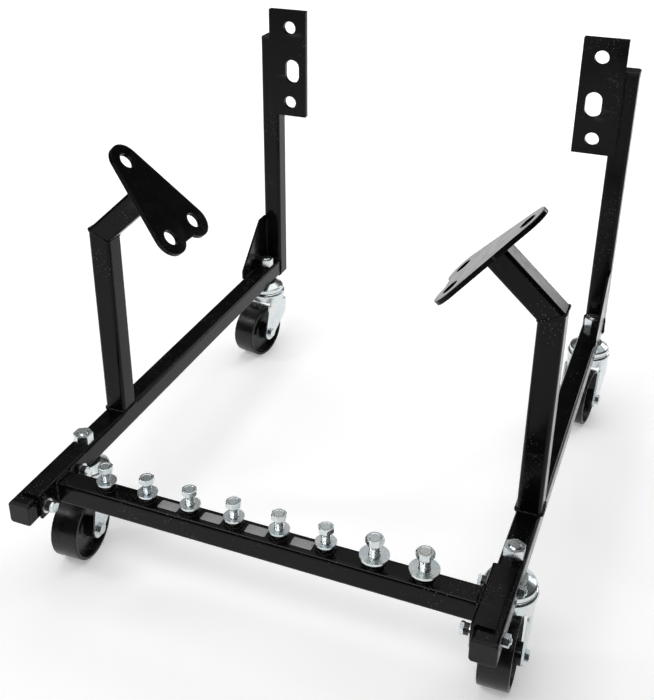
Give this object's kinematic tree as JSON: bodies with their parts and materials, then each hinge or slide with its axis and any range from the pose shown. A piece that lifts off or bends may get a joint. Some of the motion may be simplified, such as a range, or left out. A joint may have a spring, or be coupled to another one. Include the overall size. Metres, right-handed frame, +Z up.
{
  "type": "engine stand",
  "caption": "Rolling floor cradle of black square tube that holds an engine by its side mounts and bell-housing face, with spare bolts stored on its crossbar.",
  "frame": {"origin": "on the floor, under the middle of the whole stand", "axes": "+X across the stand, +Y from the open front end with the crossbar towards the rear uprights, +Z up"},
  "size_m": [0.5451, 0.6554, 0.5136],
  "materials": {
    "powder_coated_steel": "gloss powder coat",
    "zinc_plated_steel": "clear zinc plate",
    "black_oxide_steel": "satin black",
    "bearing_steel": "ground and greased",
    "black_wheel_plastic": "moulded, semi-gloss",
    "black_cap_plastic": "moulded, fine texture"
  },
  "bodies": {
    "frame": {"left_side_rail": "powder_coated_steel", "right_side_rail": "powder_coated_steel", "left_rail_end_cap": "black_cap_plastic", "right_rail_end_cap": "black_cap_plastic", "left_crossbar_bracket": "powder_coated_steel", "right_crossbar_bracket": "powder_coated_steel", "left_front_post": "powder_coated_steel", "right_front_post": "powder_coated_steel", "left_engine_arm": "powder_coated_steel", "right_engine_arm": "powder_coated_steel", "left_engine_plate": "powder_coated_steel", "right_engine_plate": "powder_coated_steel", "left_rear_upright": "powder_coated_steel", "right_rear_upright": "powder_coated_steel", "left_upright_cap": "black_cap_plastic", "right_upright_cap": "black_cap_plastic", "left_bell_housing_plate": "powder_coated_steel", "right_bell_housing_plate": "powder_coated_steel", "left_rear_gusset": "powder_coated_steel", "right_rear_gusset": "powder_coated_steel", "crossbar": "powder_coated_steel", "bracket_washers": "zinc_plated_steel", "bracket_spacers": "black_oxide_steel", "bracket_bolts": "zinc_plated_steel", "bracket_nuts": "zinc_plated_steel", "engine_bolts": "zinc_plated_steel", "engine_washers": "zinc_plated_steel", "bell_housing_bolts": "zinc_plated_steel", "bell_housing_washers": "zinc_plated_steel", "bolt_storage_nuts": "powder_coated_steel", "caster_stems": "zinc_plated_steel", "caster_stem_nuts": "zinc_plated_steel", "caster_balls": "bearing_steel", "front_left_caster_race": "zinc_plated_steel", "front_right_caster_race": "zinc_plated_steel", "rear_left_caster_race": "zinc_plated_steel", "rear_right_caster_race": "zinc_plated_steel"},
    "front_left_fork": {"front_left_caster_fork": "zinc_plated_steel", "front_left_caster_axle_bolt": "zinc_plated_steel", "front_left_caster_axle_nut": "zinc_plated_steel", "front_left_caster_bushing": "bearing_steel"},
    "front_left_wheel": {"front_left_caster_wheel": "black_wheel_plastic"},
    "front_right_fork": {"front_right_caster_fork": "zinc_plated_steel", "front_right_caster_axle_bolt": "zinc_plated_steel", "front_right_caster_axle_nut": "zinc_plated_steel", "front_right_caster_bushing": "bearing_steel"},
    "front_right_wheel": {"front_right_caster_wheel": "black_wheel_plastic"},
    "rear_left_fork": {"rear_left_caster_fork": "zinc_plated_steel", "rear_left_caster_axle_bolt": "zinc_plated_steel", "rear_left_caster_axle_nut": "zinc_plated_steel", "rear_left_caster_bushing": "bearing_steel"},
    "rear_left_wheel": {"rear_left_caster_wheel": "black_wheel_plastic"},
    "rear_right_fork": {"rear_right_caster_fork": "zinc_plated_steel", "rear_right_caster_axle_bolt": "zinc_plated_steel", "rear_right_caster_axle_nut": "zinc_plated_steel", "rear_right_caster_bushing": "bearing_steel"},
    "rear_right_wheel": {"rear_right_caster_wheel": "black_wheel_plastic"}
  },
  "joints": [
    {"name": "front_left_swivel", "type": "hinge", "parent": "frame", "child": "front_left_fork", "pos_m": [-0.241, -0.2087, 0.11], "axis": [0, 0, 1], "continuous": true},
    {"name": "front_left_roll", "type": "hinge", "parent": "front_left_fork", "child": "front_left_wheel", "pos_m": [-0.23974, -0.23267, 0.038], "axis": [0.9986, 0.0523, 0], "continuous": true},
    {"name": "front_right_swivel", "type": "hinge", "parent": "frame", "child": "front_right_fork", "pos_m": [0.241, -0.2087, 0.11], "axis": [0, 0, 1], "continuous": true},
    {"name": "front_right_roll", "type": "hinge", "parent": "front_right_fork", "child": "front_right_wheel", "pos_m": [0.24163, -0.23269, 0.038], "axis": [0.9997, 0.0262, 0], "continuous": true},
    {"name": "rear_left_swivel", "type": "hinge", "parent": "frame", "child": "rear_left_fork", "pos_m": [-0.241, 0.2763, 0.11], "axis": [0, 0, 1], "continuous": true},
    {"name": "rear_left_roll", "type": "hinge", "parent": "rear_left_fork", "child": "rear_left_wheel", "pos_m": [-0.24558, 0.25274, 0.038], "axis": [0.9816, -0.1908, 0], "continuous": true},
    {"name": "rear_right_swivel", "type": "hinge", "parent": "frame", "child": "rear_right_fork", "pos_m": [0.241, 0.2763, 0.11], "axis": [0, 0, 1], "continuous": true},
    {"name": "rear_right_roll", "type": "hinge", "parent": "rear_right_fork", "child": "rear_right_wheel", "pos_m": [0.23808, 0.25248, 0.038], "axis": [0.9925, -0.1219, 0], "continuous": true}
  ]
}
